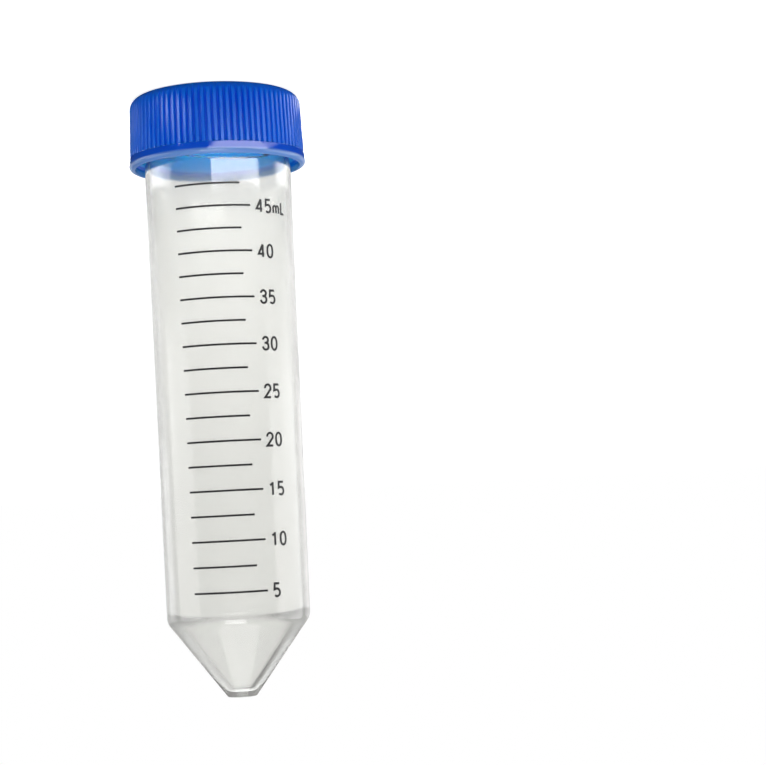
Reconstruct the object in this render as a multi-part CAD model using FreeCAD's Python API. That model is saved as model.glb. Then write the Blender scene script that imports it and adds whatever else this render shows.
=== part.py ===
"""50 ml conical tube with a screw cap, standing upside down on its cap.

Frame: millimetres. The origin is the middle of the cap's flat outer face, +Z runs up the
axis towards the conical tip, and the printed scale faces -Y. Heights are measured from the
face that the cap stands on. A volume mark's height follows from the space inside the tube.
"""
import FreeCAD
import Part
import math
import os

V = FreeCAD.Vector
UP = V(0, 0, 1)
ORIGIN = V(0, 0, 0)

# ---------------------------------------------------------------- cap
CAP_HEIGHT = 14.35            # closed face to open rim
CAP_ROOF = 2.15               # thickness of the closed end
CAP_WALL = 1.30               # bore to the tips of the ribs, at the closed end
CAP_EDGE_ROUND = 2.3          # rounded edge around the closed face
RIB_COUNT = 88                # grip ribs around the cap
RIB_DRAFT = 0.4               # how much further out the tips stand where the ribs end
RIB_DEPTH = 0.42              # depth of the grooves where the ribs end
RIB_TIP_SHARE = 0.46          # width of a rib's tip, as a share of the pitch
GROOVE_FLOOR_SHARE = 0.24     # width of a groove's floor, as a share of the pitch
BAND_HEIGHT = 2.2             # smooth band between the ribs and the open rim
BAND_STEP = 0.1               # how far the band's shoulder stands out beyond the ribs
BAND_DRAFT = 0.15             # how much wider the band is at the rim than at its shoulder
BAND_SHOULDER_RISE = 0.35     # axial length of the sloping shoulder above the ribs' end
RIM_OUTER_ROUND = 0.8         # rounded outer edge of the rim
RIM_WALL = 1.2                # wall of the rim, which sets its flared mouth
RIM_FLARE_DEPTH = 1.3         # straight part of the flared mouth
RIM_FLARE_TAPER = 0.8         # length over which the flare narrows to the thread wall
RIM_INNER_ROUND = 0.2         # rounded inner edge of the rim

# ---------------------------------------------------------------- tube
TUBE_LENGTH = 116.25          # mouth to tip
NECK_LENGTH = 11.5            # straight threaded neck at the mouth
NECK_R = 14.40                # outer radius of the neck
COLLAR_LENGTH = 4.3           # straight polished collar just clear of the cap's rim
COLLAR_STEP = 0.17            # how far the collar stands out beyond the neck
BARREL_END_R = 14.10          # outer radius where the cone starts
WALL_MOUTH = 0.73             # wall at the mouth
WALL_BARREL_END = 1.45        # wall where the cone starts
CONE_HEIGHT = 15.05           # outer height of the conical end
CONE_SHOULDER_ROUND = 3.0     # rounding between barrel and cone
TIP_FLAT_R = 2.85             # radius of the small flat at the tip
TIP_ROUND = 0.4               # rounded edge of that flat
FLOOR_THICKNESS = 2.2         # solid plastic between the tip and the inner floor
INNER_FLOOR_R = 2.0           # radius of the inner floor
INNER_CONE_OFFSET = 1.6       # how far the inner cone's shoulder lies above the outer one
MOUTH_ROUND = 0.25            # rounded lips of the mouth

# ---------------------------------------------------------------- screw thread
THREAD_STARTS = 2
THREAD_PITCH = 3.2            # axial distance between neighbouring ridges
THREAD_HEIGHT = 1.0           # radial height of the tube's ridges and of the cap's
THREAD_RADIAL_CLEARANCE = 0.3  # ridge tip to the opposite wall
THREAD_FLANK_CLEARANCE = 0.2  # between the flanks that pull the cap tight
THREAD_ROOT_WIDTH = 1.75      # axial width of a ridge at its foot
THREAD_TIP_WIDTH = 0.9        # axial width of a ridge at its tip
THREAD_TURNS = 0.9            # length of each ridge, in turns
THREAD_RUN_IN = 1.4           # mouth to the middle of the tube's first ridge
THREAD_SINK = 0.25            # how deep a ridge's foot is rooted in its wall

# ---------------------------------------------------------------- seal ring
SEAL_THICKNESS = 1.0
SEAL_OVERLAP_IN = 0.9         # how far the ring reaches inside the mouth's bore
SEAL_EDGE_CLEARANCE = 0.3     # ring edge to the cap's wall
SEAL_FACE_CLEARANCE = 0.05    # ring faces to the cap's roof and to the mouth

# ---------------------------------------------------------------- printed scale
INK_THICKNESS = 0.06
MARK_FIRST_ML = 5.0
MARK_STEP_ML = 2.5
MARK_COUNT = 18
NUMBER_STEP_ML = 5.0          # every number has a long line, the lines between are short
LINE_WIDTH = 0.38
LINE_START_DEG = -35.5        # where all lines start, counted from the middle of the front
LONG_LINE_END_DEG = 24.0
SHORT_LINE_END_DEG = 16.0
NUMBER_GAP = 1.15             # long line's end to the number, along the surface
NUMERAL_HEIGHT = 2.9
NUMERAL_WIDTH = 1.72
NUMERAL_SPACING = 0.34        # between neighbouring characters
NUMERAL_STROKE = 0.43
UNIT_HEIGHT = 2.6             # height of the capital after the top number
UNIT_SMALL_HEIGHT = 1.85      # height of the small letter before it
UNIT_M_WIDTH = 2.0
UNIT_L_WIDTH = 1.35

# ---------------------------------------------------------------- working allowances
CUT_MARGIN = 1.0              # how far a cutting shape reaches past what it cuts
RIB_BLANK_ALLOWANCE = 0.05    # how far the turned blank stands outside the ribs cut from it
SAME_PLACE = 1e-4             # two edges closer than this are one edge
LEVEL_PRECISION = 1e-6        # how closely a volume mark's height is worked out

# ---------------------------------------------------------------- derived sizes
LEAD = THREAD_STARTS * THREAD_PITCH
MOUTH_Z = CAP_ROOF + SEAL_THICKNESS + 2 * SEAL_FACE_CLEARANCE
TIP_Z = MOUTH_Z + TUBE_LENGTH
CONE_START_Z = TIP_Z - CONE_HEIGHT
NECK_END_Z = MOUTH_Z + NECK_LENGTH
COLLAR_END_Z = NECK_END_Z + COLLAR_LENGTH
COLLAR_R = NECK_R + COLLAR_STEP
INNER_FLOOR_Z = TIP_Z - FLOOR_THICKNESS
INNER_CONE_Z = CONE_START_Z - INNER_CONE_OFFSET
CAP_BORE_R = NECK_R + THREAD_HEIGHT + THREAD_RADIAL_CLEARANCE
RIB_TIP_R_CLOSED = CAP_BORE_R + CAP_WALL
RIB_TIP_R_OPEN = RIB_TIP_R_CLOSED + RIB_DRAFT
BAND_R_SHOULDER = RIB_TIP_R_OPEN + BAND_STEP
BAND_R_RIM = BAND_R_SHOULDER + BAND_DRAFT
SHOULDER_Z = CAP_HEIGHT - BAND_HEIGHT
RIM_BORE_R = BAND_R_RIM - RIM_WALL
MOUTH_BORE_R = NECK_R - WALL_MOUTH


def revolve(points):
    """Solid of revolution about Z from a closed outline of (radius, height) points."""
    wire = Part.makePolygon([V(r, 0, z) for r, z in points + points[:1]])
    return Part.Face(wire).revolve(ORIGIN, UP, 360)


def circle_edges(solid, radius, height):
    """The circular edges of a revolved solid that lie at one radius and height."""
    found = []
    for edge in solid.Edges:
        curve = edge.Curve
        if not isinstance(curve, Part.Circle):
            continue
        if abs(curve.Radius - radius) < SAME_PLACE and abs(curve.Center.z - height) < SAME_PLACE:
            found.append(edge)
    return found


def rounded(solid, radius, *rings):
    """Round the circular edges named by their radius and height."""
    edges = []
    for ring in rings:
        edges += circle_edges(solid, *ring)
    return solid.makeFillet(radius, edges)


# ---------------------------------------------------------------- thread ridges
# Both threads start at the same height. The cap's ridges are turned about the axis so that,
# along the tube, each lies just beyond a ridge of the tube and pulls it towards the roof.
THREAD_START_Z = MOUTH_Z + THREAD_RUN_IN
FLANK_TAPER = (THREAD_ROOT_WIDTH - THREAD_TIP_WIDTH) / THREAD_HEIGHT
MEETING_WIDTH = (THREAD_ROOT_WIDTH + THREAD_TIP_WIDTH - FLANK_TAPER * THREAD_RADIAL_CLEARANCE) / 2
CAP_THREAD_AHEAD = MEETING_WIDTH + THREAD_FLANK_CLEARANCE
CAP_THREAD_DEG = -360.0 * CAP_THREAD_AHEAD / LEAD


def ridge(foot_r, tip_r, start_deg):
    """One screw ridge: a trapezium swept along a right-hand helix, rooted in its wall."""
    sink = math.copysign(THREAD_SINK, foot_r - tip_r)
    half_foot = THREAD_ROOT_WIDTH / 2 + FLANK_TAPER / 2 * THREAD_SINK
    half_tip = THREAD_TIP_WIDTH / 2
    section = [
        V(foot_r + sink, 0, -half_foot),
        V(tip_r, 0, -half_tip),
        V(tip_r, 0, half_tip),
        V(foot_r + sink, 0, half_foot),
    ]
    profile = Part.makePolygon(section + section[:1])
    path = Part.makeHelix(LEAD, LEAD * THREAD_TURNS, foot_r)
    solid = Part.Wire(path.Edges).makePipeShell([profile], True, True)
    solid.rotate(ORIGIN, UP, start_deg)
    solid.translate(V(0, 0, THREAD_START_Z))
    return solid


def ridges(foot_r, tip_r, start_deg):
    """All ridges of the thread, spread evenly around the axis."""
    turn = 360.0 / THREAD_STARTS
    return [ridge(foot_r, tip_r, start_deg + i * turn) for i in range(THREAD_STARTS)]


# ---------------------------------------------------------------- cap
def star_outline(z, scale):
    """Closed outline of the grip ribs: flat tips and flat groove floors around the axis."""
    step = 2 * math.pi / RIB_COUNT
    half_tip = step * RIB_TIP_SHARE / 2
    half_floor = step * (1 - GROOVE_FLOOR_SHARE) / 2
    tip_r = scale * RIB_TIP_R_OPEN
    floor_r = scale * (RIB_TIP_R_OPEN - RIB_DEPTH)
    points = []
    for i in range(RIB_COUNT):
        middle = i * step
        for angle, r in (
            (middle - half_floor, floor_r),
            (middle - half_tip, tip_r),
            (middle + half_tip, tip_r),
            (middle + half_floor, floor_r),
        ):
            points.append(V(r * math.cos(angle), r * math.sin(angle), z))
    return Part.makePolygon(points + points[:1])


def rib_star():
    """Star-shaped rod of the ribs. Its two ends are the same shape, so that its sides are flat."""
    narrow_end = star_outline(0, RIB_TIP_R_CLOSED / RIB_TIP_R_OPEN)
    return Part.makeLoft([narrow_end, star_outline(SHOULDER_Z, 1)], True, True)


def make_cap():
    blank_r = RIB_TIP_R_CLOSED + RIB_BLANK_ALLOWANCE
    blank = revolve([
        (0, 0),
        (blank_r, 0),
        (RIB_TIP_R_OPEN + RIB_BLANK_ALLOWANCE, SHOULDER_Z),
        (0, SHOULDER_Z),
    ])
    blank = rounded(blank, CAP_EDGE_ROUND, (blank_r, 0))
    ribbed = blank.common(rib_star())

    inner_foot_r = CAP_BORE_R
    band = revolve([
        (inner_foot_r, SHOULDER_Z - BAND_SHOULDER_RISE),
        (RIB_TIP_R_OPEN - RIB_DEPTH, SHOULDER_Z - BAND_SHOULDER_RISE),
        (BAND_R_SHOULDER, SHOULDER_Z),
        (BAND_R_RIM, CAP_HEIGHT),
        (inner_foot_r, CAP_HEIGHT),
    ])
    band = rounded(band, RIM_OUTER_ROUND, (BAND_R_RIM, CAP_HEIGHT))
    body = ribbed.fuse(band)

    flare_end_z = CAP_HEIGHT - RIM_FLARE_DEPTH
    hollow = revolve([
        (0, CAP_ROOF),
        (CAP_BORE_R, CAP_ROOF),
        (CAP_BORE_R, flare_end_z - RIM_FLARE_TAPER),
        (RIM_BORE_R, flare_end_z),
        (RIM_BORE_R, CAP_HEIGHT),
        (0, CAP_HEIGHT),
    ])
    body = body.cut(hollow)
    body = rounded(body, RIM_INNER_ROUND, (RIM_BORE_R, CAP_HEIGHT))

    for solid in ridges(CAP_BORE_R, CAP_BORE_R - THREAD_HEIGHT, CAP_THREAD_DEG):
        body = body.fuse(solid)
    return body.removeSplitter()


# ---------------------------------------------------------------- tube
def outer_r(z):
    """Outer radius of the collar and barrel at a height."""
    if z <= COLLAR_END_Z:
        return COLLAR_R
    share = (z - COLLAR_END_Z) / (CONE_START_Z - COLLAR_END_Z)
    return COLLAR_R + (BARREL_END_R - COLLAR_R) * share


def inner_profile():
    """(radius, height) corners of the space inside, from the inner floor to the mouth."""
    return [
        (INNER_FLOOR_R, INNER_FLOOR_Z),
        (BARREL_END_R - WALL_BARREL_END, INNER_CONE_Z),
        (MOUTH_BORE_R, MOUTH_Z),
    ]


def frustum_volume(r1, r2, length):
    return math.pi * length * (r1 * r1 + r1 * r2 + r2 * r2) / 3


def volume_below(z):
    """Liquid held between the inner floor and a height, with the tip pointing down, in ml."""
    total = 0.0
    corners = inner_profile()
    for (r1, z1), (r2, z2) in zip(corners, corners[1:]):
        if z >= z1:
            break
        level = max(z, z2)
        r_level = r1 + (r2 - r1) * (z1 - level) / (z1 - z2)
        total += frustum_volume(r1, r_level, z1 - level)
    return total / 1000.0


def mark_height(volume_ml):
    """Height of the level of a volume, by halving the space between mouth and floor."""
    low, high = MOUTH_Z, INNER_FLOOR_Z
    while high - low > LEVEL_PRECISION:
        middle = (low + high) / 2
        if volume_below(middle) > volume_ml:
            low = middle
        else:
            high = middle
    return (low + high) / 2


def make_tube():
    body = revolve([
        (0, MOUTH_Z),
        (NECK_R, MOUTH_Z),
        (NECK_R, NECK_END_Z),
        (COLLAR_R, NECK_END_Z),
        (COLLAR_R, COLLAR_END_Z),
        (BARREL_END_R, CONE_START_Z),
        (TIP_FLAT_R, TIP_Z),
        (0, TIP_Z),
    ])
    body = rounded(body, CONE_SHOULDER_ROUND, (BARREL_END_R, CONE_START_Z))
    body = rounded(body, TIP_ROUND, (TIP_FLAT_R, TIP_Z))
    space = revolve([(0, INNER_FLOOR_Z)] + inner_profile() + [(0, MOUTH_Z)])
    body = body.cut(space)
    body = rounded(body, MOUTH_ROUND, (NECK_R, MOUTH_Z), (MOUTH_BORE_R, MOUTH_Z))
    for solid in ridges(NECK_R, NECK_R + THREAD_HEIGHT, 0):
        body = body.fuse(solid)
    return body.removeSplitter()


# ---------------------------------------------------------------- seal ring
def make_seal_ring():
    bottom = CAP_ROOF + SEAL_FACE_CLEARANCE
    top = bottom + SEAL_THICKNESS
    outer = CAP_BORE_R - SEAL_EDGE_CLEARANCE
    inner = MOUTH_BORE_R - SEAL_OVERLAP_IN
    return revolve([(inner, bottom), (outer, bottom), (outer, top), (inner, top)])


# ---------------------------------------------------------------- printed scale
def ink_layer(z_from, z_to):
    """The thin shell around the barrel that holds the ink between two heights."""
    outside = revolve([
        (0, z_from),
        (outer_r(z_from) + INK_THICKNESS, z_from),
        (outer_r(z_to) + INK_THICKNESS, z_to),
        (0, z_to),
    ])
    inside = revolve([
        (0, z_from - CUT_MARGIN),
        (outer_r(z_from - CUT_MARGIN), z_from - CUT_MARGIN),
        (outer_r(z_to + CUT_MARGIN), z_to + CUT_MARGIN),
        (0, z_to + CUT_MARGIN),
    ])
    return outside.cut(inside)


def surface_angle(degrees):
    """Direction from the axis: 0 is the middle of the front, positive to the reader's right."""
    return math.radians(-90.0 - degrees)


def make_line(volume_ml, end_deg):
    """One printed line: a strip of the ink layer between two directions."""
    z = mark_height(volume_ml)
    band = ink_layer(z - LINE_WIDTH / 2, z + LINE_WIDTH / 2)
    reach = 2 * COLLAR_R
    steps = 8
    corners = [ORIGIN]
    for i in range(steps + 1):
        degrees = LINE_START_DEG + (end_deg - LINE_START_DEG) * i / steps
        angle = surface_angle(degrees)
        corners.append(V(reach * math.cos(angle), reach * math.sin(angle), 0))
    wedge = Part.Face(Part.makePolygon(corners + corners[:1])).extrude(V(0, 0, LINE_WIDTH))
    wedge.translate(V(0, 0, z - LINE_WIDTH / 2))
    return band.common(wedge)


def make_scale_lines():
    lines = []
    for i in range(MARK_COUNT):
        volume_ml = MARK_FIRST_ML + i * MARK_STEP_ML
        is_long = volume_ml % NUMBER_STEP_ML == 0
        lines.append(make_line(volume_ml, LONG_LINE_END_DEG if is_long else SHORT_LINE_END_DEG))
    return Part.makeCompound(lines)


def arc(centre_x, centre_y, radius_x, radius_y, start_deg, end_deg, steps=4):
    """Points along a quarter of an oval, both ends included."""
    points = []
    for i in range(steps + 1):
        angle = math.radians(start_deg + (end_deg - start_deg) * i / steps)
        points.append((centre_x + radius_x * math.cos(angle), centre_y + radius_y * math.sin(angle)))
    return points


# Each character is one or more pen strokes inside a box w wide and h high. The points are the
# middle of the stroke, so the box is one stroke narrower and lower than the printed character.
def strokes_0(w, h):
    c = w / 2
    bowl = w * 0.75
    return [(
        arc(c, h - bowl, c, bowl, 0, 90) + arc(c, h - bowl, c, bowl, 90, 180)[1:]
        + arc(c, bowl, c, bowl, 180, 270) + arc(c, bowl, c, bowl, 270, 360)[1:],
        True,
    )]


def strokes_1(w, h):
    stem = 0.58 * w
    return [([(stem, 0), (stem, h)], False), ([(0.12 * w, 0.76 * h), (stem, 0.9 * h)], False)]


def strokes_2(w, h):
    c = w / 2
    bowl = w * 0.55
    return [(
        arc(c, h - bowl, c, bowl, 180, 90) + arc(c, h - bowl, c, bowl, 90, -20)[1:]
        + [(0, 0), (w, 0)],
        False,
    )]


def strokes_3(w, h):
    c = w / 2
    waist = 0.54 * h
    top = (h - waist) / 2
    low = waist / 2
    return [
        (arc(c, h - top, 0.9 * c, top, 175, 90) + arc(c, h - top, 0.9 * c, top, 90, -90, 8)[1:]
         + [(0.62 * c, waist)], False),
        ([(0.62 * c, waist)] + arc(c, low, c, low, 90, -90, 8)
         + arc(c, low, c, low, 270, 185)[1:], False),
    ]


def strokes_4(w, h):
    stem = 0.74 * w
    bar = 0.25 * h
    return [([(stem, 0), (stem, h)], False), ([(stem, h), (0, bar), (w, bar)], False)]


def strokes_5(w, h):
    c = w / 2
    bowl = 0.3 * h
    return [
        ([(0.95 * w, h), (0.12 * w, h), (0.06 * w, 0.54 * h)]
         + arc(c, bowl, c, bowl, 100, 90, 1) + arc(c, bowl, c, bowl, 90, 0)[1:]
         + arc(c, bowl, c, bowl, 0, -90)[1:] + arc(c, bowl, c, bowl, 270, 222, 2)[1:], False),
    ]


def strokes_m(w, h):
    c = w / 4
    arches = []
    for side in (0, 2 * c):
        arches.append((
            [(side, 0), (side, h - c)] + arc(side + c, h - c, c, c, 180, 90)[1:]
            + arc(side + c, h - c, c, c, 90, 0)[1:] + [(side + 2 * c, 0)],
            False,
        ))
    return arches


def strokes_l(w, h):
    return [([(0, h), (0, 0), (w, 0)], False)]


DIGIT_STROKES = {
    "0": strokes_0,
    "1": strokes_1,
    "2": strokes_2,
    "3": strokes_3,
    "4": strokes_4,
    "5": strokes_5,
}


def offset_side(points, closed, distance):
    """The pen's path moved sideways, with mitred corners."""
    count = len(points)
    moved = []
    for i, (x, y) in enumerate(points):
        before = points[i - 1] if closed or i > 0 else None
        after = points[(i + 1) % count] if closed or i < count - 1 else None
        normals = []
        for a, b in ((before, (x, y)), ((x, y), after)):
            if a is None or b is None:
                continue
            length = math.hypot(b[0] - a[0], b[1] - a[1])
            normals.append((-(b[1] - a[1]) / length, (b[0] - a[0]) / length))
        nx = sum(n[0] for n in normals) / len(normals)
        ny = sum(n[1] for n in normals) / len(normals)
        squared = nx * nx + ny * ny
        moved.append((x + distance * nx / squared, y + distance * ny / squared))
    return moved


def pen_stroke(points, closed, depth):
    """One stroke of the pen as a flat bar of the stroke's width, from y = 0 to y = depth."""
    left = offset_side(points, closed, NUMERAL_STROKE / 2)
    right = offset_side(points, closed, -NUMERAL_STROKE / 2)

    def face(outline):
        return Part.Face(Part.makePolygon([V(x, 0, y) for x, y in outline + outline[:1]]))

    if closed:
        bodies = [face(side).extrude(V(0, depth, 0)) for side in (left, right)]
        bodies.sort(key=lambda body: body.Volume)
        return bodies[1].cut(bodies[0])
    return face(left + right[::-1]).extrude(V(0, depth, 0))


def character(strokes, width, height, start_mm, level_z, layer):
    """A printed character: its strokes cut out of the ink layer.

    start_mm is where the character starts along the surface, level_z its lower edge. The tube
    stands on its cap, so the character's top points down.
    """
    inset = NUMERAL_STROKE / 2
    box_w = width - NUMERAL_STROKE
    box_h = height - NUMERAL_STROKE
    surface_r = outer_r(level_z)
    depth = surface_r
    bars = []
    for points, closed in strokes(box_w, box_h):
        centred = [(x + inset - width / 2, y + inset) for x, y in points]
        bars.append(pen_stroke(centred, closed, depth))
    solid = bars[0]
    for bar in bars[1:]:
        solid = solid.fuse(bar)
    middle_of_surface = -(surface_r + depth / 2)
    solid.translate(V(0, middle_of_surface, 0))
    solid.rotate(ORIGIN, V(0, 1, 0), 180)
    solid.translate(V(0, 0, level_z))
    middle_deg = math.degrees((start_mm + width / 2) / surface_r)
    solid.rotate(ORIGIN, UP, -middle_deg)
    return solid.common(layer)


def make_number(volume_ml, with_unit):
    """The number beside a long line, with the unit after it at the top of the scale."""
    line_z = mark_height(volume_ml)
    base_z = line_z + NUMERAL_HEIGHT / 2
    layer = ink_layer(line_z - NUMERAL_HEIGHT, line_z + NUMERAL_HEIGHT)
    position = math.radians(LONG_LINE_END_DEG) * outer_r(line_z) + NUMBER_GAP
    characters = []
    for digit in str(int(volume_ml)):
        characters.append(character(
            DIGIT_STROKES[digit], NUMERAL_WIDTH, NUMERAL_HEIGHT, position, base_z, layer))
        position += NUMERAL_WIDTH + NUMERAL_SPACING
    if with_unit:
        characters.append(character(
            strokes_m, UNIT_M_WIDTH, UNIT_SMALL_HEIGHT, position, base_z, layer))
        position += UNIT_M_WIDTH + NUMERAL_SPACING
        characters.append(character(
            strokes_l, UNIT_L_WIDTH, UNIT_HEIGHT, position, base_z, layer))
    return characters


def make_scale_numerals():
    last_ml = MARK_FIRST_ML + (MARK_COUNT - 1) * MARK_STEP_ML
    numbers = []
    volume_ml = MARK_FIRST_ML
    while volume_ml <= last_ml:
        if volume_ml % NUMBER_STEP_ML == 0:
            is_top = volume_ml + NUMBER_STEP_ML > last_ml
            numbers += make_number(volume_ml, is_top)
        volume_ml += MARK_STEP_ML
    return Part.makeCompound(numbers)


# ---------------------------------------------------------------- export
def main():
    os.makedirs("parts", exist_ok=True)
    nodes = {
        "cap": make_cap(),
        "tube": make_tube(),
        "seal_ring": make_seal_ring(),
        "scale_lines": make_scale_lines(),
        "scale_numerals": make_scale_numerals(),
    }
    for name, shape in nodes.items():
        shape.exportStep("parts/" + name + ".step")
        box = shape.BoundBox
        print(name, "solids", len(shape.Solids), "valid", shape.isValid(),
              "volume", round(shape.Volume, 1),
              "z", round(box.ZMin, 2), round(box.ZMax, 2), "x", round(box.XMin, 2), round(box.XMax, 2))
    print("brim volume ml", round(volume_below(MOUTH_Z), 2))


main()
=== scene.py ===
# %% [markdown]
# # A 50 ml conical tube, dressed for its portrait
# The frame holds five solids: the cap, the tube, a soft sealing ring inside the cap, and the
# printed scale as two sets of thin ink. The tube stands upside down on its cap, because its
# other end is a cone. All lengths here are metres, and up is +Z, towards the conical tip.
# We load the frame first. Every position below comes from it or from a named size.

# %% Load the frame
import math

import bpy
from mathutils import Matrix, Vector


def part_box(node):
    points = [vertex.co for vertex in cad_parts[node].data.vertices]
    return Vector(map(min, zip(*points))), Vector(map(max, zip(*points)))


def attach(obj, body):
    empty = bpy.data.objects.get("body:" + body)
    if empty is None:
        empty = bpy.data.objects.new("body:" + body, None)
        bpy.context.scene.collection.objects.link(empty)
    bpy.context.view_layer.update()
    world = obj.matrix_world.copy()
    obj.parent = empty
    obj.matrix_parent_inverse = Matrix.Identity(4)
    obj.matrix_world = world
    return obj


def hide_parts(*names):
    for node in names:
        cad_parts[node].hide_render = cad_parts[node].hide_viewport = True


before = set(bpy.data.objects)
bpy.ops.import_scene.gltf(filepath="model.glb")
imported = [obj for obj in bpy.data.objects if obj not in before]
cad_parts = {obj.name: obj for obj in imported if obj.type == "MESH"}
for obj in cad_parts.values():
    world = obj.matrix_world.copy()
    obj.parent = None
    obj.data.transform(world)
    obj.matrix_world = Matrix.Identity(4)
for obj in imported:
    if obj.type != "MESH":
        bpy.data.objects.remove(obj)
scene = bpy.context.scene
MM = 0.001
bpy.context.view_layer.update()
tube_low, tube_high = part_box("tube")
_, cap_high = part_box("cap")
print("tube mm", [round(v / MM, 2) for v in (*tube_low, *tube_high)])
print("cap height mm", round(cap_high.z / MM, 2))

# %% [markdown]
# ## The camera
# The tube is looked at with its cap uppermost, and the lens is level with the lower third of
# the scale, so the cap's open rim shows a little from below. Here the tube stands on its cap,
# so the camera hangs upside down in front of the scale, which gives the same view. It is
# close enough that the printed lines near the cap curve up while the lowest ones curve down.
# A tracking constraint could aim it, but the small roll is easiest to state when we build the
# camera's three axes by hand.

# %% Place the camera
CAMERA_DISTANCE = 385 * MM
CAMERA_BELOW_TIP = 34.85 * MM
AIM_SIDE = math.radians(4.60)
AIM_TOWARDS_CAP = math.radians(3.81)
CAMERA_ROLL = math.radians(3.0)
LENS_MM = 90.7
SENSOR_MM = 36
NEAREST_SEEN = 0.01
FARTHEST_SEEN = 50

forward = Vector((
    -math.sin(AIM_SIDE) * math.cos(AIM_TOWARDS_CAP),
    math.cos(AIM_SIDE) * math.cos(AIM_TOWARDS_CAP),
    -math.sin(AIM_TOWARDS_CAP),
))
level_right = Vector((-math.cos(AIM_SIDE), -math.sin(AIM_SIDE), 0))
level_up = level_right.cross(forward)
right = level_right * math.cos(CAMERA_ROLL) - level_up * math.sin(CAMERA_ROLL)
up = level_right * math.sin(CAMERA_ROLL) + level_up * math.cos(CAMERA_ROLL)

camera_data = bpy.data.cameras.new("portrait_camera")
camera_data.lens = LENS_MM
camera_data.sensor_width = SENSOR_MM
camera_data.clip_start = NEAREST_SEEN
camera_data.clip_end = FARTHEST_SEEN
camera = bpy.data.objects.new("portrait_camera", camera_data)
scene.collection.objects.link(camera)
axes = Matrix((right, up, -forward)).transposed().to_4x4()
place = Vector((0, -CAMERA_DISTANCE, tube_high.z - CAMERA_BELOW_TIP))
camera.matrix_world = Matrix.Translation(place) @ axes
scene.camera = camera
print("camera at", tuple(round(v, 3) for v in place))

# %% [markdown]
# ## Node helpers
# The world and every material are small networks of nodes. They could be clicked together in
# the Shader Editor, but a few helpers keep them short and readable here: one sets or links a
# socket, one makes a node, one turns a range of values into another, and two calculate.

# %% Helpers that join nodes
def put(tree, socket, value):
    """Links a socket to another node's output, or gives it a constant."""
    if isinstance(value, bpy.types.NodeSocket):
        tree.links.new(value, socket)
    else:
        socket.default_value = value


def node(tree, kind, **values):
    """A node with some of its inputs set, each named with _ for a blank."""
    made = tree.nodes.new(kind)
    for key, value in values.items():
        put(tree, made.inputs[key.replace("_", " ")], value)
    return made


def fade(tree, value, start, end, low, high):
    """Goes from low to high while a value goes from start to end, and stays there outside."""
    made = node(tree, "ShaderNodeMapRange", Value=value, From_Min=start, From_Max=end,
                To_Min=low, To_Max=high)
    return made.outputs["Result"]


def maths(tree, operation, *values, clamp=False):
    """The result of a calculation with numbers and outputs of nodes."""
    made = tree.nodes.new("ShaderNodeMath")
    made.operation = operation
    made.use_clamp = clamp
    for socket, value in zip(made.inputs, values):
        put(tree, socket, value)
    return made.outputs[0]


def vector_number(tree, operation, *vectors):
    """The number that a calculation with vectors gives, such as a length."""
    made = tree.nodes.new("ShaderNodeVectorMath")
    made.operation = operation
    for socket, vector in zip(made.inputs, vectors):
        put(tree, socket, vector)
    return made.outputs["Value"]


print("helpers ready: put, node, fade, maths, vector_number")

# %% [markdown]
# Two more groups of helpers follow. The first blends two numbers, colours or shaders by a
# factor from 0 to 1. The second splits a vector, and starts a material with an empty tree,
# because the default material's nodes would only be in the way.

# %% Helpers that blend and split
def blend(tree, factor, a, b):
    """A number between two, by a factor."""
    made = tree.nodes.new("ShaderNodeMix")
    for index, value in ((0, factor), (2, a), (3, b)):
        put(tree, made.inputs[index], value)
    return made.outputs[0]


def blend_colour(tree, factor, a, b):
    """A colour between two, by a factor."""
    made = tree.nodes.new("ShaderNodeMix")
    made.data_type = "RGBA"
    put(tree, made.inputs[0], factor)
    for index, colour in ((6, a), (7, b)):
        put(tree, made.inputs[index], (*colour, 1) if isinstance(colour, tuple) else colour)
    return made.outputs[2]


def blend_shaders(tree, factor, a, b):
    """A surface or background between two, by a factor."""
    made = tree.nodes.new("ShaderNodeMixShader")
    for index, value in enumerate((factor, a.outputs[0], b.outputs[0])):
        put(tree, made.inputs[index], value)
    return made


def split(tree, vector):
    """The X, Y and Z of a vector."""
    return node(tree, "ShaderNodeSeparateXYZ", Vector=vector).outputs


def new_material(name):
    """A material with an empty node tree and its output node."""
    material = bpy.data.materials.new(name)
    material.use_nodes = True
    tree = material.node_tree
    tree.nodes.clear()
    output = tree.nodes.new("ShaderNodeOutputMaterial")
    return material, tree, output


print("helpers ready: blend, blend_colour, blend_shaders, split, new_material")

# %% [markdown]
# ## A bright room
# A clear, frosted thing is seen by what stands behind it. The room is a white world: the camera
# sees it pure white, and so does light that has come through the tube's walls, a little dimmer
# in front, towards the ceiling and in one far corner, which draws the dark inner line of the
# cone. Mirror-like reflections get the white only low down behind the tube, for its bright
# edges. All other light stays at a plain level, so colours come out as they are written.
# An HDR image of a studio could do this too, but with nodes each part has a name.

# %% World
ROOM_LIGHT = 0.22
MIRRORED_ROOM = -0.20
MIRRORED_HORIZON = 0.70
HORIZON_BEHIND = (0.2, 0.8)
HORIZON_UPWARDS = (0.10, 0.30)
SEEN_THROUGH_BEHIND = 1.0
SEEN_THROUGH_FRONT = 0.85
SEEN_THROUGH_ABOVE = 0.62
SEEN_THROUGH_CORNER = 0.10
FRONT_TO_BACK = (-0.5, 0.4)
WALL_TO_CEILING = (0.3, 0.6)
DARK_CORNER = (-0.69, 0.23, 0.69)
CORNER_EDGE = (0.70, 0.90)
WHITE = (1, 1, 1, 1)

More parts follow.
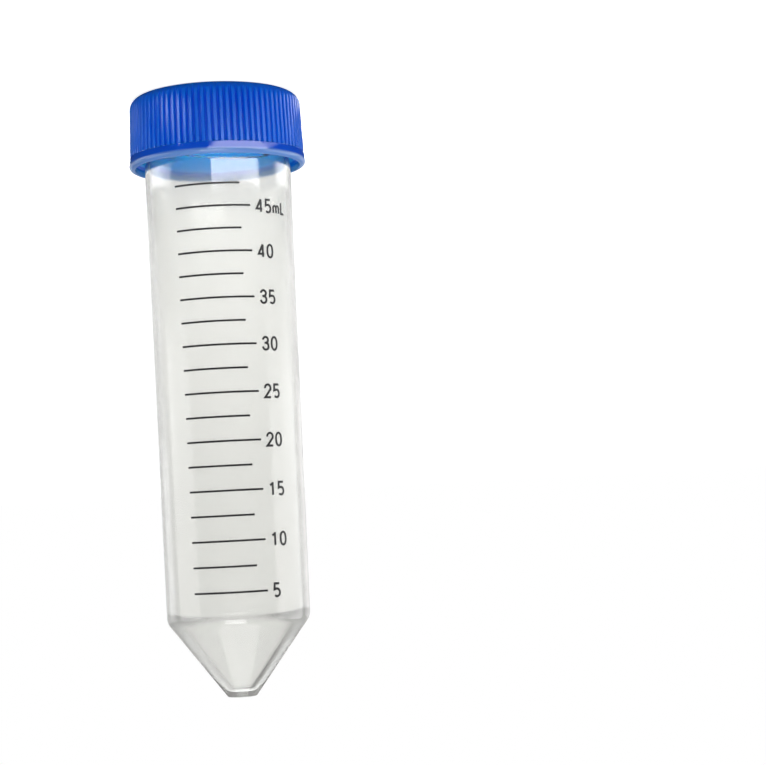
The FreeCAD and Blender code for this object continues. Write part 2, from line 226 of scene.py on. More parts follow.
scene.view_settings.view_transform = "Standard"
world = bpy.data.worlds.new("white_room")
world.use_nodes = True
scene.world = world
tree = world.node_tree
tree.nodes.clear()
world_out = tree.nodes.new("ShaderNodeOutputWorld")
ray = tree.nodes.new("ShaderNodeLightPath").outputs
heading = tree.nodes.new("ShaderNodeTexCoord").outputs["Generated"]
_, to_back, to_ceiling = split(tree, heading)
to_corner = vector_number(tree, "DOT_PRODUCT", heading, DARK_CORNER)

walls = fade(tree, to_back, *FRONT_TO_BACK, SEEN_THROUGH_FRONT, SEEN_THROUGH_BEHIND)
ceiling = fade(tree, to_ceiling, *WALL_TO_CEILING, 1, SEEN_THROUGH_ABOVE)
far_corner = fade(tree, to_corner, *CORNER_EDGE, 1, SEEN_THROUGH_CORNER)
seen_through = maths(tree, "MULTIPLY", walls, maths(tree, "MULTIPLY", ceiling, far_corner))
horizon = maths(tree, "MULTIPLY", fade(tree, to_back, *HORIZON_BEHIND, 0, 1),
                fade(tree, to_ceiling, *HORIZON_UPWARDS, 1, 0))
mirrored = fade(tree, horizon, 0, 1, MIRRORED_ROOM, MIRRORED_HORIZON)
plain = maths(tree, "MULTIPLY_ADD", ray["Is Glossy Ray"], mirrored, ROOM_LIGHT)

by_light, by_clear_walls, by_camera = [
    node(tree, "ShaderNodeBackground", Color=WHITE, Strength=strength)
    for strength in (plain, seen_through, 1.0)]
lit = blend_shaders(tree, ray["Is Transmission Ray"], by_light, by_clear_walls)
lit_or_seen = blend_shaders(tree, ray["Is Camera Ray"], lit, by_camera)
put(tree, world_out.inputs["Surface"], lit_or_seen.outputs[0])
print("world", world.name, "with", len(tree.nodes), "nodes")

# %% [markdown]
# ## The floor
# White paper lies under the cap and runs on behind the tube. It is a plain diffuse sheet that
# keeps the object's shadow, with some light of its own for three kinds of ray: the camera sees
# it as white as the room, clear walls show it a little lifted, and reflections show a bright
# sweep behind the tube. Close to the cap, reflections meet darker paper, so the ribs keep
# their deep colour.

# %% Floor
FLOOR_RADIUS = 6.0
FLOOR_ALBEDO = 0.5
FLOOR_ALBEDO_MIRRORED = 0.1
MIRRORED_DARK_OUT_TO = (0.06, 0.12)
FLOOR_LIFT_SEEN = 0.86
FLOOR_WHITE_FROM = (0.2, 1.5)
FLOOR_LIFT_THROUGH = (0.15, 0.10)
THROUGH_BEHIND = (-0.03, 0.10)
SWEEP_LIFT = 0.95
SWEEP_BEHIND = (0.06, 0.16)

floor_mesh = bpy.data.meshes.new("floor")
square = ((-1, -1), (1, -1), (1, 1), (-1, 1))
floor_mesh.from_pydata([(x * FLOOR_RADIUS, y * FLOOR_RADIUS, 0) for x, y in square],
                       [], [(0, 1, 2, 3)])
floor = bpy.data.objects.new("floor", floor_mesh)
scene.collection.objects.link(floor)

floor_material, tree, floor_out = new_material("white_floor")
ray = tree.nodes.new("ShaderNodeLightPath").outputs
spot = tree.nodes.new("ShaderNodeTexCoord").outputs["Object"]
_, behind, _ = split(tree, spot)
away = vector_number(tree, "LENGTH", spot)

lift = 0.0
for kind, amount in (
    ("Is Camera Ray", fade(tree, away, *FLOOR_WHITE_FROM, FLOOR_LIFT_SEEN, 1.0)),
    ("Is Transmission Ray", fade(tree, behind, *THROUGH_BEHIND, *FLOOR_LIFT_THROUGH)),
    ("Is Glossy Ray", fade(tree, behind, *SWEEP_BEHIND, 0, SWEEP_LIFT)),
):
    lift = maths(tree, "MULTIPLY_ADD", ray[kind], amount, lift)
near_cap = fade(tree, away, *MIRRORED_DARK_OUT_TO, 1, 0)
mirrored_near = maths(tree, "MULTIPLY", ray["Is Glossy Ray"], near_cap)
paper = tree.nodes.new("ShaderNodeBsdfDiffuse")
put(tree, paper.inputs["Color"],
    fade(tree, mirrored_near, 0, 1, FLOOR_ALBEDO, FLOOR_ALBEDO_MIRRORED))
own_light = node(tree, "ShaderNodeEmission", Strength=lift)
both = tree.nodes.new("ShaderNodeAddShader")
put(tree, both.inputs[0], paper.outputs[0])
put(tree, both.inputs[1], own_light.outputs[0])
put(tree, floor_out.inputs["Surface"], both.outputs[0])
floor_mesh.materials.append(floor_material)
print("floor", 2 * FLOOR_RADIUS, "m wide")

# %% [markdown]
# ## Studio lamps
# Three large soft boxes light the object: one in front, one at its side and one above. A small
# bar behind the cap shines into the blue plastic, which passes the light on to the inside, so
# the cap glows where it is seen through the neck. Each box is an area lamp turned to a point.

# %% Lamp helper and large lamps
MIDDLE = (0, 0, 0.05)
BAR_HEIGHT = 4.5 * MM


def soft_box(name, place, width, height, power, aim, spread=180, lights_surfaces=True,
             shines_through=False):
    """A rectangular area lamp at a place, turned towards a point. A card that only shows as a
    reflection has lights_surfaces off."""
    data = bpy.data.lights.new(name, "AREA")
    data.shape = "RECTANGLE"
    data.size = width
    data.size_y = height
    data.energy = power
    data.spread = math.radians(spread)
    lamp = bpy.data.objects.new(name, data)
    scene.collection.objects.link(lamp)
    lamp.location = place
    lamp.rotation_mode = "QUATERNION"
    lamp.rotation_quaternion = (Vector(aim) - Vector(place)).to_track_quat("-Z", "Y")
    lamp.visible_camera = False
    lamp.visible_transmission = shines_through
    lamp.visible_diffuse = lights_surfaces
    return lamp


soft_box("front_box", (0.08, -0.74, 0.60), 0.50, 0.50, power=5.0, aim=MIDDLE, shines_through=True)
soft_box("right_box", (-0.70, 0.06, 0.20), 0.80, 0.50, power=3.0, aim=MIDDLE)
soft_box("top_box", (0.0, -0.10, 0.85), 0.60, 0.60, power=1.6, aim=MIDDLE)
soft_box("back_bar", (0.0, 25.5 * MM, BAR_HEIGHT), 44 * MM, 8 * MM, power=0.008,
         aim=(0, 0, BAR_HEIGHT), spread=110, shines_through=True)

# %% [markdown]
# ## Reflector cards
# In a studio, small white cards around a shiny thing draw its highlights. Low cards near the
# cap give the square bright patch on the band and neck and the white flanks of the neck. Tall
# cards further away draw the upright bands on the barrel. Cards that lie on the floor are
# mirrored by the ribs, which lean a little downwards. We could paint such highlights into the
# colour, but then they would not move with the view. All the cards are seen only in
# reflections and light no surface, so they change no colour.

# %% Cards
CARD_LIFT = 0.5 * MM
FRONT_TURN = 24.8


def reflector(name, facing, distance, width, low, high, power, rise=0, spread=180,
              shines_through=True):
    """A white card around the tube. Facing 0 is the front, and positive angles go round to the
    reader's right. Rise tips the card back to look upwards."""
    middle = (low + high) / 2
    angle = math.radians(facing)
    place = (-distance * math.sin(angle), -distance * math.cos(angle), middle)
    aim = (0, 0, middle + distance * math.tan(math.radians(rise)))
    return soft_box(name, place, width, high - low, power, aim, spread, lights_surfaces=False,
                    shines_through=shines_through)


def floor_card(name, x, y, width, depth, power):
    """A white card that lies on the floor and faces straight up."""
    return soft_box(name, (x, y, CARD_LIFT), width, depth, power, (x, y, 1),
                    lights_surfaces=False)


reflector("front_card", FRONT_TURN, 45 * MM, 60.7 * MM, 1 * MM, 14 * MM, 0.017)
reflector("left_card", -104, 50 * MM, 65 * MM, 6 * MM, 12 * MM, 0.0008, rise=14, spread=72)
reflector("right_card", 116, 50 * MM, 46 * MM, 6 * MM, 12.5 * MM, 0.0003, rise=14, spread=60)
for name, facing, width, low, high, power in (
    ("tall_card", -128, 120 * MM, 60 * MM, 160 * MM, 0.045),
    ("wide_card", -84, 240 * MM, 20 * MM, 170 * MM, 0.24),
    ("edge_card", 146, 120 * MM, 40 * MM, 170 * MM, 0.03),
):
    reflector(name, facing, 300 * MM, width, low, high, power, shines_through=False)
front = floor_card("floor_card_front", -0.19, -0.41, 0.20, 0.65, 0.095)
front.rotation_quaternion = (Matrix.Rotation(math.radians(-FRONT_TURN), 3, "Z")
                             @ Matrix.Rotation(math.pi, 3, "X")).to_quaternion()
floor_card("floor_card_left", 24 * MM, -27.5 * MM, 21 * MM, 22 * MM, 0.0165)
floor_card("floor_card_right", -34 * MM, -10 * MM, 34 * MM, 40 * MM, 0.014)

# %% [markdown]
# ## Turned shapes
# Tube, cap and ring are all turned shapes: an outline carried round the axis. Blender's Screw
# modifier could do that, but the ribs and the screw thread change the radius from place to
# place, so we lay the grid of points ourselves: one ring of points for each step along the
# outline. A small helper rounds the outline's corners, as a mould does.

# %% Outline helpers
def rounded_outline(corners, steps=5):
    """Points of an outline whose (radius, height, rounding) corners are replaced by arcs."""
    points = []
    count = len(corners)
    for i, (r, z, rounding) in enumerate(corners):
        if rounding == 0 or i in (0, count - 1):
            points.append((r, z))
            continue
        here = Vector((r, z))
        before = (Vector(corners[i - 1][:2]) - here).normalized()
        after = (Vector(corners[i + 1][:2]) - here).normalized()
        half = before.angle(after) / 2
        reach = rounding / math.tan(half)
        centre = here + (before + after).normalized() * (rounding / math.sin(half))
        start = here + before * reach - centre
        end = here + after * reach - centre
        sweep = start.angle_signed(end)
        for k in range(steps + 1):
            turned = start.copy()
            turned.rotate(Matrix.Rotation(-sweep * k / steps, 2))
            points.append(tuple(centre + turned))
    return points


def divided(points, longest):
    """The same outline with extra points, so that no step is longer than the given length."""
    dense = [points[0]]
    for (r1, z1), (r2, z2) in zip(points, points[1:]):
        parts = max(1, math.ceil(math.hypot(r2 - r1, z2 - z1) / longest))
        for k in range(1, parts + 1):
            dense.append((r1 + (r2 - r1) * k / parts, z1 + (z2 - z1) * k / parts))
    return dense


print("a rounded corner has", len(rounded_outline([(0, 0, 0), (5, 0, 1), (5, 5, 0)])) - 2, "points")

# %% [markdown]
# The lathe joins the rings into a mesh of four-sided faces. Its points are welded from the
# start, so smooth shading runs round the whole shape. Which way the faces look depends on the
# way the outline runs, so a second helper measures the volume and flips them if it must.

# %% Lathe
def lathe(name, rings, angles, closed=False):
    """A mesh from rings of points. Each ring is a function that gives (radius, height) for an
    angle. An open outline starts and ends on the axis, and a closed one runs back to its start."""
    verts, faces = [], []
    count = len(angles)
    body = rings if closed else rings[1:-1]
    for ring in body:
        for angle in angles:
            r, z = ring(angle)
            verts.append((r * math.cos(angle), r * math.sin(angle), z))
    pairs = list(zip(range(len(body)), range(1, len(body))))
    if closed:
        pairs.append((len(body) - 1, 0))
    for a, b in pairs:
        for k in range(count):
            n = (k + 1) % count
            faces.append((a * count + k, a * count + n, b * count + n, b * count + k))
    if not closed:
        first, last = len(verts), len(verts) + 1
        verts.append((0, 0, rings[0](0)[1]))
        verts.append((0, 0, rings[-1](0)[1]))
        top = (len(body) - 1) * count
        for k in range(count):
            n = (k + 1) % count
            faces.append((first, n, k))
            faces.append((last, top + k, top + n))
    mesh = bpy.data.meshes.new(name)
    mesh.from_pydata(verts, [], faces)
    mesh.shade_smooth()
    made = bpy.data.objects.new(name, mesh)
    scene.collection.objects.link(made)
    return made


def turned_outward(made):
    """Turns the faces outward and describes the mesh. A closed mesh whose faces look outward
    has a positive volume."""
    mesh = made.data
    volume = 0.0
    for polygon in mesh.polygons:
        corners = [mesh.vertices[v].co for v in polygon.vertices]
        for k in range(1, len(corners) - 1):
            volume += corners[0].dot(corners[k].cross(corners[k + 1])) / 6
    if volume < 0:
        mesh.flip_normals()
    return f"{abs(volume) * 1e6:.2f} cm3, {len(mesh.polygons)} faces"


print("lathe ready")


# %% [markdown]
# ## The screw thread
# Two ridges start opposite each other and climb one lead of 6.4 mm a turn, so the cap comes off
# in two turns. The mesh has no separate ridges: at each point of the wall we work out how far
# along its screw line the nearest ridge is, and lift the wall there. The ends fade out, as
# moulded threads do. Tube and cap share the function. In the cap the thread stands inwards, and
# it is turned a little, so that its ridges lie between the tube's and press against them.
# Cutting the ridges with booleans would be slower, and it leaves ragged edges.

# %% Thread function
LEAD = 6.4 * MM
STARTS = 2
THREAD_HEIGHT = 1.0 * MM
THREAD_FOOT = 1.75 * MM
THREAD_TIP = 0.9 * MM
THREAD_SWEEP = 0.9 * 2 * math.pi
THREAD_FADE = math.radians(16)
THREAD_RUN_IN = 1.4 * MM
THREAD_START_Z = tube_low.z + THREAD_RUN_IN
CAP_THREAD_OFFSET = 1.3975 * MM
CAP_THREAD_TURN = -2 * math.pi * CAP_THREAD_OFFSET / LEAD


def smooth_step(value):
    """Rises from 0 to 1 with soft ends, and stays there outside."""
    value = min(max(value, 0.0), 1.0)
    return value * value * (3 - 2 * value)


def thread_lift(angle, z, turned):
    """How far the thread stands out from its wall at an angle and height."""
    along = (z - THREAD_START_Z) / LEAD * 2 * math.pi
    best = 0.0
    for start in range(STARTS):
        turn = angle - turned - start * 2 * math.pi / STARTS
        nearest = turn + 2 * math.pi * round((along - turn) / (2 * math.pi))
        if nearest < 0 or nearest > THREAD_SWEEP:
            continue
        off = abs(nearest - along) / (2 * math.pi) * LEAD
        share = (THREAD_FOOT / 2 - off) / ((THREAD_FOOT - THREAD_TIP) / 2)
        fade_in = smooth_step(nearest / THREAD_FADE)
        fade_out = smooth_step((THREAD_SWEEP - nearest) / THREAD_FADE)
        best = max(best, THREAD_HEIGHT * smooth_step(share) * (fade_in * fade_out))
    return best


print("thread climbs", LEAD / MM, "mm a turn on", STARTS, "ridges")

# %% [markdown]
# ## The tube
# One moulding of natural polypropylene: a straight threaded neck, a polished collar that rises
# from it in a short cone, a barrel that narrows a little so that it leaves the mould, and a
# cone with a small flat tip. The wall is thin at the mouth and thicker towards the cone, and
# the floor inside the tip is more than two millimetres thick. A single skin would be easier,
# but real walls matter here, because the wall bends the light that comes through it.

# %% Tube sizes
NECK_R = 14.40 * MM
NECK_LENGTH = 11.5 * MM
COLLAR_R = 14.57 * MM
COLLAR_LENGTH = 4.3 * MM
COLLAR_RISE = 2.5 * MM
BARREL_END_R = 14.10 * MM
WALL_MOUTH = 0.73 * MM
WALL_BARREL_END = 1.45 * MM
MOUTH_ROUND = 0.25 * MM
CONE_HEIGHT = 15.05 * MM
CONE_SHOULDER_ROUND = 3.0 * MM
TIP_FLAT_R = 2.85 * MM
TIP_ROUND = 0.4 * MM
FLOOR_THICKNESS = 2.2 * MM
INNER_FLOOR_R = 2.0 * MM
INNER_FLOOR_ROUND = 0.8 * MM
INNER_CONE_OFFSET = 1.6 * MM
INNER_SHOULDER_ROUND = 1.5 * MM
TINY = 1e-6
TUBE_COLUMNS = 224
TUBE_STEP = 4 * MM
THREAD_STEP = 0.17 * MM

mouth_z, tip_z = tube_low.z, tube_high.z
cone_z = tip_z - CONE_HEIGHT
neck_end_z = mouth_z + NECK_LENGTH
collar_end_z = neck_end_z + COLLAR_LENGTH
print("collar ends at mm", round(collar_end_z / MM, 2), "and the cone starts at",
      round(cone_z / MM, 2))

# %% Turn the tube
tube_outline = rounded_outline([
    (0, tip_z, 0),
    (TIP_FLAT_R, tip_z, TIP_ROUND),
    (BARREL_END_R, cone_z, CONE_SHOULDER_ROUND),
    (COLLAR_R, collar_end_z, 0),
    (COLLAR_R, neck_end_z, 0),
    (NECK_R, neck_end_z - COLLAR_RISE, 0),
    (NECK_R, mouth_z, MOUTH_ROUND),
    (NECK_R - WALL_MOUTH, mouth_z, MOUTH_ROUND),
    (BARREL_END_R - WALL_BARREL_END, cone_z - INNER_CONE_OFFSET, INNER_SHOULDER_ROUND),
    (INNER_FLOOR_R, tip_z - FLOOR_THICKNESS, INNER_FLOOR_ROUND),
    (0, tip_z - FLOOR_THICKNESS, 0),
])


def on_neck(*radii):
    """Whether all these radii lie on the outside of the neck, where the thread runs."""
    return all(abs(r - NECK_R) < TINY for r in radii)


def tube_ring(r, z):
    """One ring of the tube's grid, lifted where the thread runs over the outside of the neck."""
    return lambda angle: (r + (thread_lift(angle, z, 0) if on_neck(r) else 0), z)


tube_points = []
for (r1, z1), (r2, z2) in zip(tube_outline, tube_outline[1:]):
    longest = THREAD_STEP if on_neck(r1, r2) else TUBE_STEP
    tube_points += divided([(r1, z1), (r2, z2)], longest)[:-1]
tube_points.append(tube_outline[-1])

around = [2 * math.pi * k / TUBE_COLUMNS for k in range(TUBE_COLUMNS)]
tube = lathe("frosted_tube", [tube_ring(r, z) for r, z in tube_points], around)
tube.data.set_sharp_from_angle(angle=math.radians(60))
print("tube", turned_outward(tube))

# %% [markdown]
# ## The cap
# A deep lid of blue polyethylene with 88 fine grip ribs. Each rib has a flat tip and sloping
# flanks, and it runs from the rounded edge of the closed face to a small shoulder. Beyond that
# is a smooth band that flares a little, and then the open rim. An array of cut grooves would
# work too, but eight columns of points a rib draw tip, flanks and groove with softly rounded
# corners and no boolean cuts.

# %% Cap sizes
CAP_ROOF = 2.15 * MM
CAP_EDGE_ROUND = 2.3 * MM
RIB_COUNT = 88
RIB_R_CLOSED = 17.0 * MM
RIB_R_OPEN = 17.4 * MM
RIB_DEPTH = 0.42 * MM
BAND_HEIGHT = 2.2 * MM
BAND_R_SHOULDER = 17.5 * MM
BAND_R_RIM = 17.65 * MM
SHOULDER_RISE = 0.35 * MM
RIM_WALL = 1.2 * MM
RIM_OUTER_ROUND = 0.8 * MM
RIM_INNER_ROUND = 0.2 * MM
CAP_BORE_R = NECK_R + 1.3 * MM
FLARE_DEPTH = 1.3 * MM
FLARE_TAPER = 0.8 * MM
FACE_RINGS = (0, 8 * MM, 14 * MM)
BAND_STEP = 0.3 * MM
RIB_COLUMNS = ((-0.40, 1.0), (-0.34, 0.9), (-0.23, 0.12), (-0.17, 0.0),
               (0.17, 0.0), (0.23, 0.12), (0.34, 0.9), (0.40, 1.0))

cap_top_z = cap_high.z
shoulder_z = cap_top_z - BAND_HEIGHT
flare_z = cap_top_z - FLARE_DEPTH
bore_top_z = flare_z - FLARE_TAPER
rim_bore_r = BAND_R_RIM - RIM_WALL
pitch = 2 * math.pi / RIB_COUNT
print("a rib every", round(RIB_R_OPEN * pitch / MM, 2), "mm")


# %% Rings of the cap
def rib_depth(angle):
    """How deep the surface lies below the ribs' tips at an angle: 0 on a tip, 1 in a groove."""
    share = (angle / pitch + 0.5) % 1.0 - 0.5
    for (a, depth_a), (b, depth_b) in zip(RIB_COLUMNS, RIB_COLUMNS[1:]):
        if a - TINY <= share <= b + TINY:
            return depth_a + (depth_b - depth_a) * (share - a) / (b - a)
    return 1.0


def plain_ring(r, z):
    """One round ring."""
    return lambda angle: (r, z)


def ribbed_ring(z, within=math.inf):
    """One ring with ribs, no wider than a given radius. It rises to the band at the shoulder."""
    def ring(angle):
        tip_r = RIB_R_CLOSED + (RIB_R_OPEN - RIB_R_CLOSED) * z / shoulder_z
        r = min(within, tip_r - RIB_DEPTH * rib_depth(angle))
        rise = (z - (shoulder_z - SHOULDER_RISE)) / SHOULDER_RISE
        if rise > 0:
            foot = RIB_R_OPEN - RIB_DEPTH
            r = max(r, foot + (BAND_R_SHOULDER - foot) * rise)
        return r, z

    return ring


def bore_ring(z):
    """One ring of the cap's inner wall, with the thread standing inwards."""
    return lambda angle: (CAP_BORE_R - thread_lift(angle, z, CAP_THREAD_TURN), z)


def levels(low, high, parts):
    """Heights that divide a length into equal parts, without the first."""
    return [low + (high - low) * k / parts for k in range(1, parts + 1)]


print("depth on a rib", rib_depth(0), "and in a groove", rib_depth(pitch / 2))


# %% Turn the cap
closed_edge = rounded_outline(
    [(0, 0, 0), (RIB_R_CLOSED, 0, CAP_EDGE_ROUND), (RIB_R_OPEN, shoulder_z, 0)], steps=9)[1:-1]
band = rounded_outline([
    (BAND_R_SHOULDER, shoulder_z, 0),
    (BAND_R_RIM, cap_top_z, RIM_OUTER_ROUND),
    (rim_bore_r, cap_top_z, RIM_INNER_ROUND),
    (rim_bore_r, flare_z, 0),
    (CAP_BORE_R, bore_top_z, 0),
])
rib_end_z = shoulder_z - SHOULDER_RISE
cap_rings = [plain_ring(r, 0) for r in FACE_RINGS]
cap_rings += [ribbed_ring(z, within=r) for r, z in closed_edge]
cap_rings += [ribbed_ring(z) for z in levels(closed_edge[-1][1], rib_end_z, 8)]
cap_rings += [ribbed_ring(z) for z in levels(rib_end_z, shoulder_z, 4)]
cap_rings += [plain_ring(r, z) for r, z in divided(band, BAND_STEP)[1:]]
cap_rings += [bore_ring(z) for z in levels(bore_top_z, CAP_ROOF, 48)]
cap_rings += [plain_ring(FACE_RINGS[1], CAP_ROOF), plain_ring(0, CAP_ROOF)]

cap_angles = [(i + share) * pitch for i in range(RIB_COUNT) for share, _ in RIB_COLUMNS]
cap = lathe("ribbed_cap", cap_rings, cap_angles)
cap.data.set_sharp_from_angle(angle=math.radians(30))
print("cap", turned_outward(cap))

# %% [markdown]
# ## The sealing ring
# A flat washer of soft white elastomer lies against the cap's roof, and the tube's mouth presses
# on it. A bevelled cylinder would do, but its outline is only four rounded corners, so the
# lathe that we already have does the rest.

# %% Turn the sealing ring
SEAL_OVERLAP_IN = 0.9 * MM
SEAL_ROUND = 0.2 * MM

ring_low, ring_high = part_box("seal_ring")
ring_outer = ring_high.x
ring_inner = NECK_R - WALL_MOUTH - SEAL_OVERLAP_IN
middle_z = (ring_low.z + ring_high.z) / 2
washer = rounded_outline([
    (ring_inner, middle_z, 0),
    (ring_inner, ring_low.z, SEAL_ROUND),
    (ring_outer, ring_low.z, SEAL_ROUND),
    (ring_outer, ring_high.z, SEAL_ROUND),
    (ring_inner, ring_high.z, SEAL_ROUND),
    (ring_inner, middle_z, 0),
], steps=4)
seal = lathe("soft_washer", [plain_ring(r, z) for r, z in washer[:-1]], around, closed=True)
print("seal", turned_outward(seal))

# %% [markdown]
# ## Frosted polypropylene
# Natural polypropylene is clear but never quite: it bends light as glass does, scatters a
# little of it and has a faint warm tint. Neck and collar are polished, the barrel copies the
# fine texture of its mould, and the cone is half polished. The shader is mostly transmission,
# and on the barrel a share of plain diffuse colour gives the milky veil. Noise varies the
# roughness slowly over the wall, and a fine bump stands for the mould. A scattering volume
# would be nearer to the real plastic, but in a wall this thin it is slow and grainy.

# %% Noise and bump
def in_object(tree):
    """Places in the object's own space, so the texture stays on a piece that moves."""
    return tree.nodes.new("ShaderNodeTexCoord").outputs["Object"]


def noise(tree, place, scale, detail):
    """Soft noise from 0 to 1."""
    made = node(tree, "ShaderNodeTexNoise", Vector=place, Scale=scale, Detail=detail)
    return made.outputs["Fac"]


def fine_bump(tree, height, strength, depth):
    """A surface direction that is tilted a little by a height between 0 and 1."""
    made = node(tree, "ShaderNodeBump", Height=height, Strength=strength, Distance=depth)
    return made.outputs["Normal"]


print("helpers ready: in_object, noise, fine_bump")

# %% Tube material
TUBE_IOR = 1.49
TUBE_HAZE = {"scale": 55.0, "detail": 3.0}
TUBE_GRAIN = {"scale": 2600.0, "detail": 2.0}
TUBE_BUMP = {"strength": 0.08, "depth": 0.05 * MM}
TUBE_TINTS = ((0.955, 0.958, 0.935), (0.985, 0.985, 0.96))
FROST_STARTS = (collar_end_z - 4 * MM, collar_end_z + 6 * MM)
FROST_ENDS = (cone_z + 1 * MM, cone_z + 4 * MM)
FROST_ON_CONE = 0.3
ROUGH_POLISHED = 0.05
ROUGH_FROSTED = (0.15, 0.20)
VEIL_STARTS = (collar_end_z - 3 * MM, collar_end_z + 1 * MM)
CLEAR_COLLAR = 0.97
CLEAR_BARREL = 0.84


def frosted_polypropylene():
    """Clear plastic with a polished neck and collar, and a frosted, slightly milky barrel."""
    material, tree, output = new_material("frosted_polypropylene")
    place = in_object(tree)
    haze = noise(tree, place, **TUBE_HAZE)
    height = split(tree, place)["Z"]
    frosted = maths(tree, "MULTIPLY", fade(tree, height, *FROST_STARTS, 0, 1),
                    fade(tree, height, *FROST_ENDS, 1, FROST_ON_CONE))
    rough = fade(tree, haze, 0, 1, *ROUGH_FROSTED)
    shader = node(
        tree, "ShaderNodeBsdfPrincipled", IOR=TUBE_IOR,
        Base_Color=blend_colour(tree, haze, *TUBE_TINTS),
        Roughness=blend(tree, frosted, ROUGH_POLISHED, rough),
        Transmission_Weight=fade(tree, height, *VEIL_STARTS, CLEAR_COLLAR, CLEAR_BARREL),
        Normal=fine_bump(tree, noise(tree, place, **TUBE_GRAIN), **TUBE_BUMP),
    )
    put(tree, output.inputs["Surface"], shader.outputs[0])
    return material


tube_plastic = frosted_polypropylene()
print("tube material", tube_plastic.name)

# %% [markdown]
# ## Blue polyethylene
# The cap is deeply dyed, yet it is not one blue, and most of its blues are painted light. The tips
# of the ribs are painted lightest, as a painted highlight, the grooves are painted dark, as painted
# shade, and hardly shine, the smooth band is deeper and glossier, and the rim has a pale lip,
# painted light for the light through its thin edge. Inside, the bore is painted lighter, as a
# painted glow where it is seen through the clear neck. We could paint a map for these zones, but
# they follow from the height and the distance to the axis.

# %% Zones of the cap
GROOVE_DEPTHS = (0.1 * MM, 0.38 * MM)
GROOVE_STARTS = (0.6 * MM, CAP_EDGE_ROUND)
LIP_STARTS = (cap_top_z - 1.2 * MM, cap_top_z - 0.7 * MM)
BORE_ENDS = (CAP_BORE_R + 0.1 * MM, CAP_BORE_R + 0.4 * MM)


def cap_zones(tree, place):
    """Shares from 0 to 1 of the grooves, the band, the lip and the bore."""
    x, y, z = split(tree, place)
    from_axis = node(tree, "ShaderNodeCombineXYZ", X=x, Y=y)
    radius = vector_number(tree, "LENGTH", from_axis.outputs[0])
    rib_top = fade(tree, z, 0, shoulder_z, RIB_R_CLOSED, RIB_R_OPEN)
    depth = maths(tree, "SUBTRACT", rib_top, radius)
    # In the colour, this groove share lays painted shade into the grooves.
    groove = maths(tree, "MULTIPLY", fade(tree, depth, *GROOVE_DEPTHS, 0, 1),
                   fade(tree, z, *GROOVE_STARTS, 0, 1))
    on_band = fade(tree, z, shoulder_z - SHOULDER_RISE, shoulder_z, 0, 1)
    on_lip = fade(tree, z, *LIP_STARTS, 0, 1)
    in_bore = fade(tree, radius, *BORE_ENDS, 1, 0)
    return groove, on_band, on_lip, in_bore


print("the lip starts at mm", round(LIP_STARTS[0] / MM, 2))

# %% [markdown]
# Two more short functions give the cap its colour and its gloss. The gloss is soft and
# stretched along the ribs, with a slight mottle where the plastic froze against the mould, and
# the band is nearly polished.

# %% Colour and gloss of the cap
# Painted highlight and painted shade: the rib tips get lighter blues and the grooves darker ones.
LIT_RIB_TIP_BLUES = ((0.001, 0.116, 0.84), (0.002, 0.140, 0.94))
SHADED_GROOVE_BLUES = ((0.0005, 0.032, 0.66), (0.001, 0.042, 0.76))
BAND_BLUE = (0.0005, 0.052, 0.74)
# Painted glow: the bore's pale blue stands in for the light seen through the clear neck.
PAINTED_GLOW_BORE_BLUE = (0.12, 0.40, 1.0)
# Painted light: the lip's pale blue stands in for the light through the thin rim.
PAINTED_LIGHT_LIP_BLUE = (0.18, 0.33, 0.74)
ROUGH_RIBS = (0.16, 0.22)
ROUGH_BAND = 0.07
STRETCH_ON_RIBS = 0.9
SHINE_IN_GROOVES = 0.24
SHINE_ON_RIBS = 0.32
SHINE_ON_BAND = 0.66


def cap_colour(tree, mottle, groove, on_band, on_lip, in_bore):
    """The blue of each zone: painted highlight on the rib tips, painted shade in the grooves, a
    painted glow in the bore and painted light on the lip. Each later zone covers the ones before
    it.
    """
    colour = blend_colour(tree, groove, blend_colour(tree, mottle, *LIT_RIB_TIP_BLUES),
                          blend_colour(tree, mottle, *SHADED_GROOVE_BLUES))
    for share, blue in ((on_band, BAND_BLUE), (in_bore, PAINTED_GLOW_BORE_BLUE), (on_lip, PAINTED_LIGHT_LIP_BLUE)):
        colour = blend_colour(tree, share, colour, blue)
    return colour


def cap_gloss(tree, mottle, groove, on_band, on_lip):
    """Roughness, the stretch of the highlights, and how much they shine."""
    polished = maths(tree, "SUBTRACT", on_band, on_lip, clamp=True)
    rough = blend(tree, polished, fade(tree, mottle, 0, 1, *ROUGH_RIBS), ROUGH_BAND)
    stretch = fade(tree, on_band, 0, 1, STRETCH_ON_RIBS, 0)
    shine = maths(tree, "MULTIPLY", fade(tree, groove, 0, 1, 1, SHINE_IN_GROOVES),
                  fade(tree, on_band, 0, 1, SHINE_ON_RIBS, SHINE_ON_BAND))
    return rough, stretch, shine


print("grooves shine", SHINE_IN_GROOVES * SHINE_ON_RIBS, "of the full amount")

# %% [markdown]
# Polyethylene also lets light through, more of it where the bore is lit from behind. True
# subsurface light would need many more samples, so a share of a translucent shader stands for
# it: it takes the light that falls on one side of a wall and shows it, coloured, on the other.

# %% Cap material
CAP_IOR = 1.52
CAP_MOTTLE = {"scale": 140.0, "detail": 4.0}
CAP_GRAIN = {"scale": 3000.0, "detail": 2.0}
CAP_BUMP = {"strength": 0.06, "depth": 0.05 * MM}
QUARTER_TURN = 0.25
GLOW_BLUES = ((0.05, 0.70, 0.97), (0.08, 0.78, 1.0))
GLOW_OUTSIDE = 0.30
GLOW_IN_BORE = 0.70


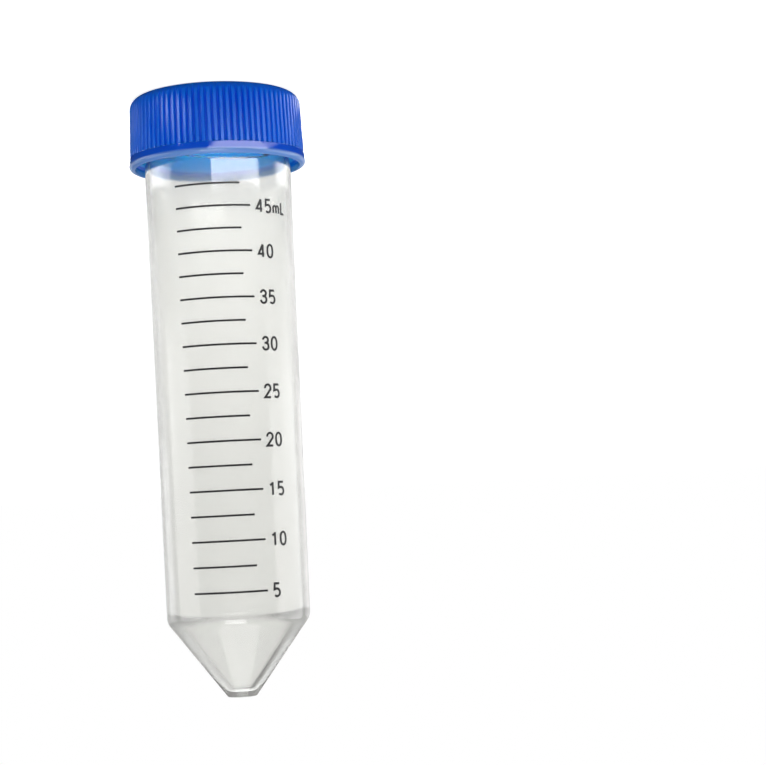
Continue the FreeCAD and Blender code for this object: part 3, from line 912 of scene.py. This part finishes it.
def blue_polyethylene():
    """Dyed plastic with several blues, a stretched gloss and a share of light from behind."""
    material, tree, output = new_material("blue_polyethylene")
    place = in_object(tree)
    mottle = noise(tree, place, **CAP_MOTTLE)
    groove, on_band, on_lip, in_bore = cap_zones(tree, place)
    rough, stretch, shine = cap_gloss(tree, mottle, groove, on_band, on_lip)
    round_about = tree.nodes.new("ShaderNodeTangent")
    round_about.direction_type = "RADIAL"
    round_about.axis = "Z"
    shader = node(
        tree, "ShaderNodeBsdfPrincipled", IOR=CAP_IOR,
        Base_Color=cap_colour(tree, mottle, groove, on_band, on_lip, in_bore),
        Roughness=rough, Anisotropic=stretch, Specular_IOR_Level=shine,
        Anisotropic_Rotation=QUARTER_TURN, Tangent=round_about.outputs[0],
        Normal=fine_bump(tree, noise(tree, place, **CAP_GRAIN), **CAP_BUMP),
    )
    glow = node(tree, "ShaderNodeBsdfTranslucent",
                Color=blend_colour(tree, mottle, *GLOW_BLUES))
    share = fade(tree, in_bore, 0, 1, GLOW_OUTSIDE, GLOW_IN_BORE)
    mixed = blend_shaders(tree, share, shader, glow)
    put(tree, output.inputs["Surface"], mixed.outputs[0])
    return material


cap_plastic = blue_polyethylene()
print("cap material", cap_plastic.name)

# %% [markdown]
# ## Ink and elastomer
# The scale is printed in black ink, which lies on the wall as a thin film. Print on plastic is
# never perfectly even, so a fine noise makes it slightly greyer in places. The washer is soft
# and dull, with a faint speckle and a fine bump. Both need the same few nodes, so one function
# makes them. A flat colour would be simpler, but it looks like paint on a screen.

# %% Ink and seal materials
def speckled(name, scale, colours, roughness, bump=None):
    """An opaque material whose colour and roughness follow one noise."""
    material, tree, output = new_material(name)
    speckle = noise(tree, in_object(tree), scale=scale, detail=3.0)
    shader = node(
        tree, "ShaderNodeBsdfPrincipled",
        Base_Color=blend_colour(tree, speckle, *colours),
        Roughness=fade(tree, speckle, 0, 1, *roughness),
    )
    if bump:
        put(tree, shader.inputs["Normal"], fine_bump(tree, speckle, **bump))
    put(tree, output.inputs["Surface"], shader.outputs[0])
    return material


ink = speckled("printed_black_ink", 1800.0, ((0.006, 0.006, 0.007), (0.020, 0.020, 0.023)),
               roughness=(0.35, 0.6))
rubber = speckled("white_elastomer", 900.0, ((0.66, 0.66, 0.63), (0.78, 0.78, 0.75)),
                  roughness=(0.5, 0.7), bump={"strength": 0.2, "depth": 0.04 * MM})
print("materials", ink.name, rubber.name)

# %% [markdown]
# ## Dress the pieces
# Each new mesh takes the place of its plain solid and rides on the same body, so the whole
# thing unscrews together. The ink solids are right as they are and only get the ink.

# %% Assign and attach
for made, material, solid, body, finish in (
    (tube, tube_plastic, "tube", "tube", "clear_plastic"),
    (cap, cap_plastic, "cap", "cap", "blue_plastic"),
    (seal, rubber, "seal_ring", "seal_ring", "seal_rubber"),
):
    made.data.materials.append(material)
    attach(made, body)
    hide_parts(solid)

for name in ("scale_lines", "scale_numerals"):
    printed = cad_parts[name]
    printed.data.materials.clear()
    printed.data.materials.append(ink)
